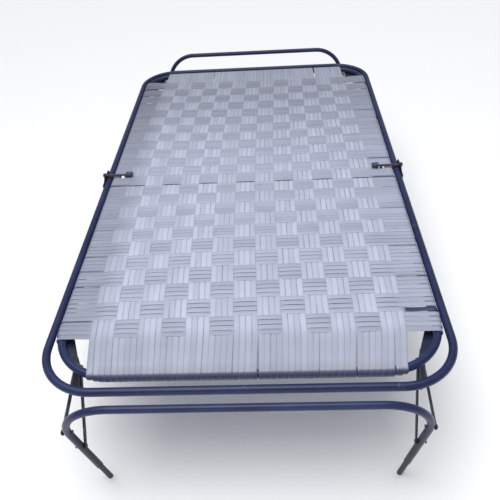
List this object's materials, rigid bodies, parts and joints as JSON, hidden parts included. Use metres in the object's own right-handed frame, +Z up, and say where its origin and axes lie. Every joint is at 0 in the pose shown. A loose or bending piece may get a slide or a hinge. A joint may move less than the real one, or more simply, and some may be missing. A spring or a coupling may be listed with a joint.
{
  "type": "folding bed",
  "caption": "Folding bed: a rounded tube deck hinged across the middle, basket-woven with flat strap bands, on arched tube leg frames that fold under it.",
  "frame": {"origin": "on the floor under the middle of the bed, where the fold line crosses the centre line", "axes": "+X across the bed, +Y along it to the head end, +Z up"},
  "size_m": [1.0826, 2.0718, 0.4395],
  "materials": {
    "tube_paint": "glossy dark navy enamel, worn",
    "fittings": "dark navy enamel, scuffed with light rust at the hinges",
    "fastener": "dull zinc steel, slightly rusty",
    "tip": "black plastic",
    "strap": "pale blue-grey ribbed vinyl strap, slightly glossy"
  },
  "bodies": {
    "head_half": {"head_hinge_leaf_left": "fittings", "head_hinge_leaf_right": "fittings", "head_hinge_rivets": "fastener", "head_inner_frame": "tube_paint", "head_leg_bracket_left": "fittings", "head_leg_bracket_right": "fittings", "head_outer_rail": "tube_paint", "head_rail_spacers": "tube_paint", "head_woven_mat": "strap", "hinge_pin_left": "fastener", "hinge_pin_right": "fastener", "middle_leg_bracket_left": "fittings", "middle_leg_bracket_right": "fittings"},
    "foot_half": {"foot_hinge_leaf_left": "fittings", "foot_hinge_leaf_right": "fittings", "foot_hinge_rivets": "fastener", "foot_inner_frame": "tube_paint", "foot_leg_bracket_left": "fittings", "foot_leg_bracket_right": "fittings", "foot_outer_rail": "tube_paint", "foot_rail_spacers": "tube_paint", "foot_woven_mat": "strap"},
    "head_leg": {"head_brace_pins": "fastener", "head_brace_rivets": "fastener", "head_foot_tip_left": "tip", "head_foot_tip_right": "tip", "head_leg_frame": "tube_paint", "head_lower_brace_left": "fittings", "head_lower_brace_right": "fittings", "head_upper_brace_left": "fittings", "head_upper_brace_right": "fittings"},
    "foot_leg": {"foot_brace_pins": "fastener", "foot_brace_rivets": "fastener", "foot_foot_tip_left": "tip", "foot_foot_tip_right": "tip", "foot_leg_frame": "tube_paint", "foot_lower_brace_left": "fittings", "foot_lower_brace_right": "fittings", "foot_upper_brace_left": "fittings", "foot_upper_brace_right": "fittings"},
    "middle_leg": {"middle_foot_tip_left": "tip", "middle_foot_tip_right": "tip", "middle_leg_frame": "tube_paint", "middle_leg_pins": "fastener"}
  },
  "joints": [
    {"name": "middle_fold", "type": "hinge", "parent": "head_half", "child": "foot_half", "pos_m": [0, 0, 0.4], "axis": [-1, 0, 0], "range_deg": [0, 170]},
    {"name": "head_leg_fold", "type": "hinge", "parent": "head_half", "child": "head_leg", "pos_m": [0, 0.8414, 0.35], "axis": [-1, 0, 0], "range_deg": [0, 80]},
    {"name": "foot_leg_fold", "type": "hinge", "parent": "foot_half", "child": "foot_leg", "pos_m": [0, -0.8414, 0.35], "axis": [1, 0, 0], "range_deg": [0, 80]},
    {"name": "middle_leg_fold", "type": "hinge", "parent": "head_half", "child": "middle_leg", "pos_m": [0, 0.09, 0.298], "axis": [1, 0, 0], "range_deg": [0, 99]}
  ]
}
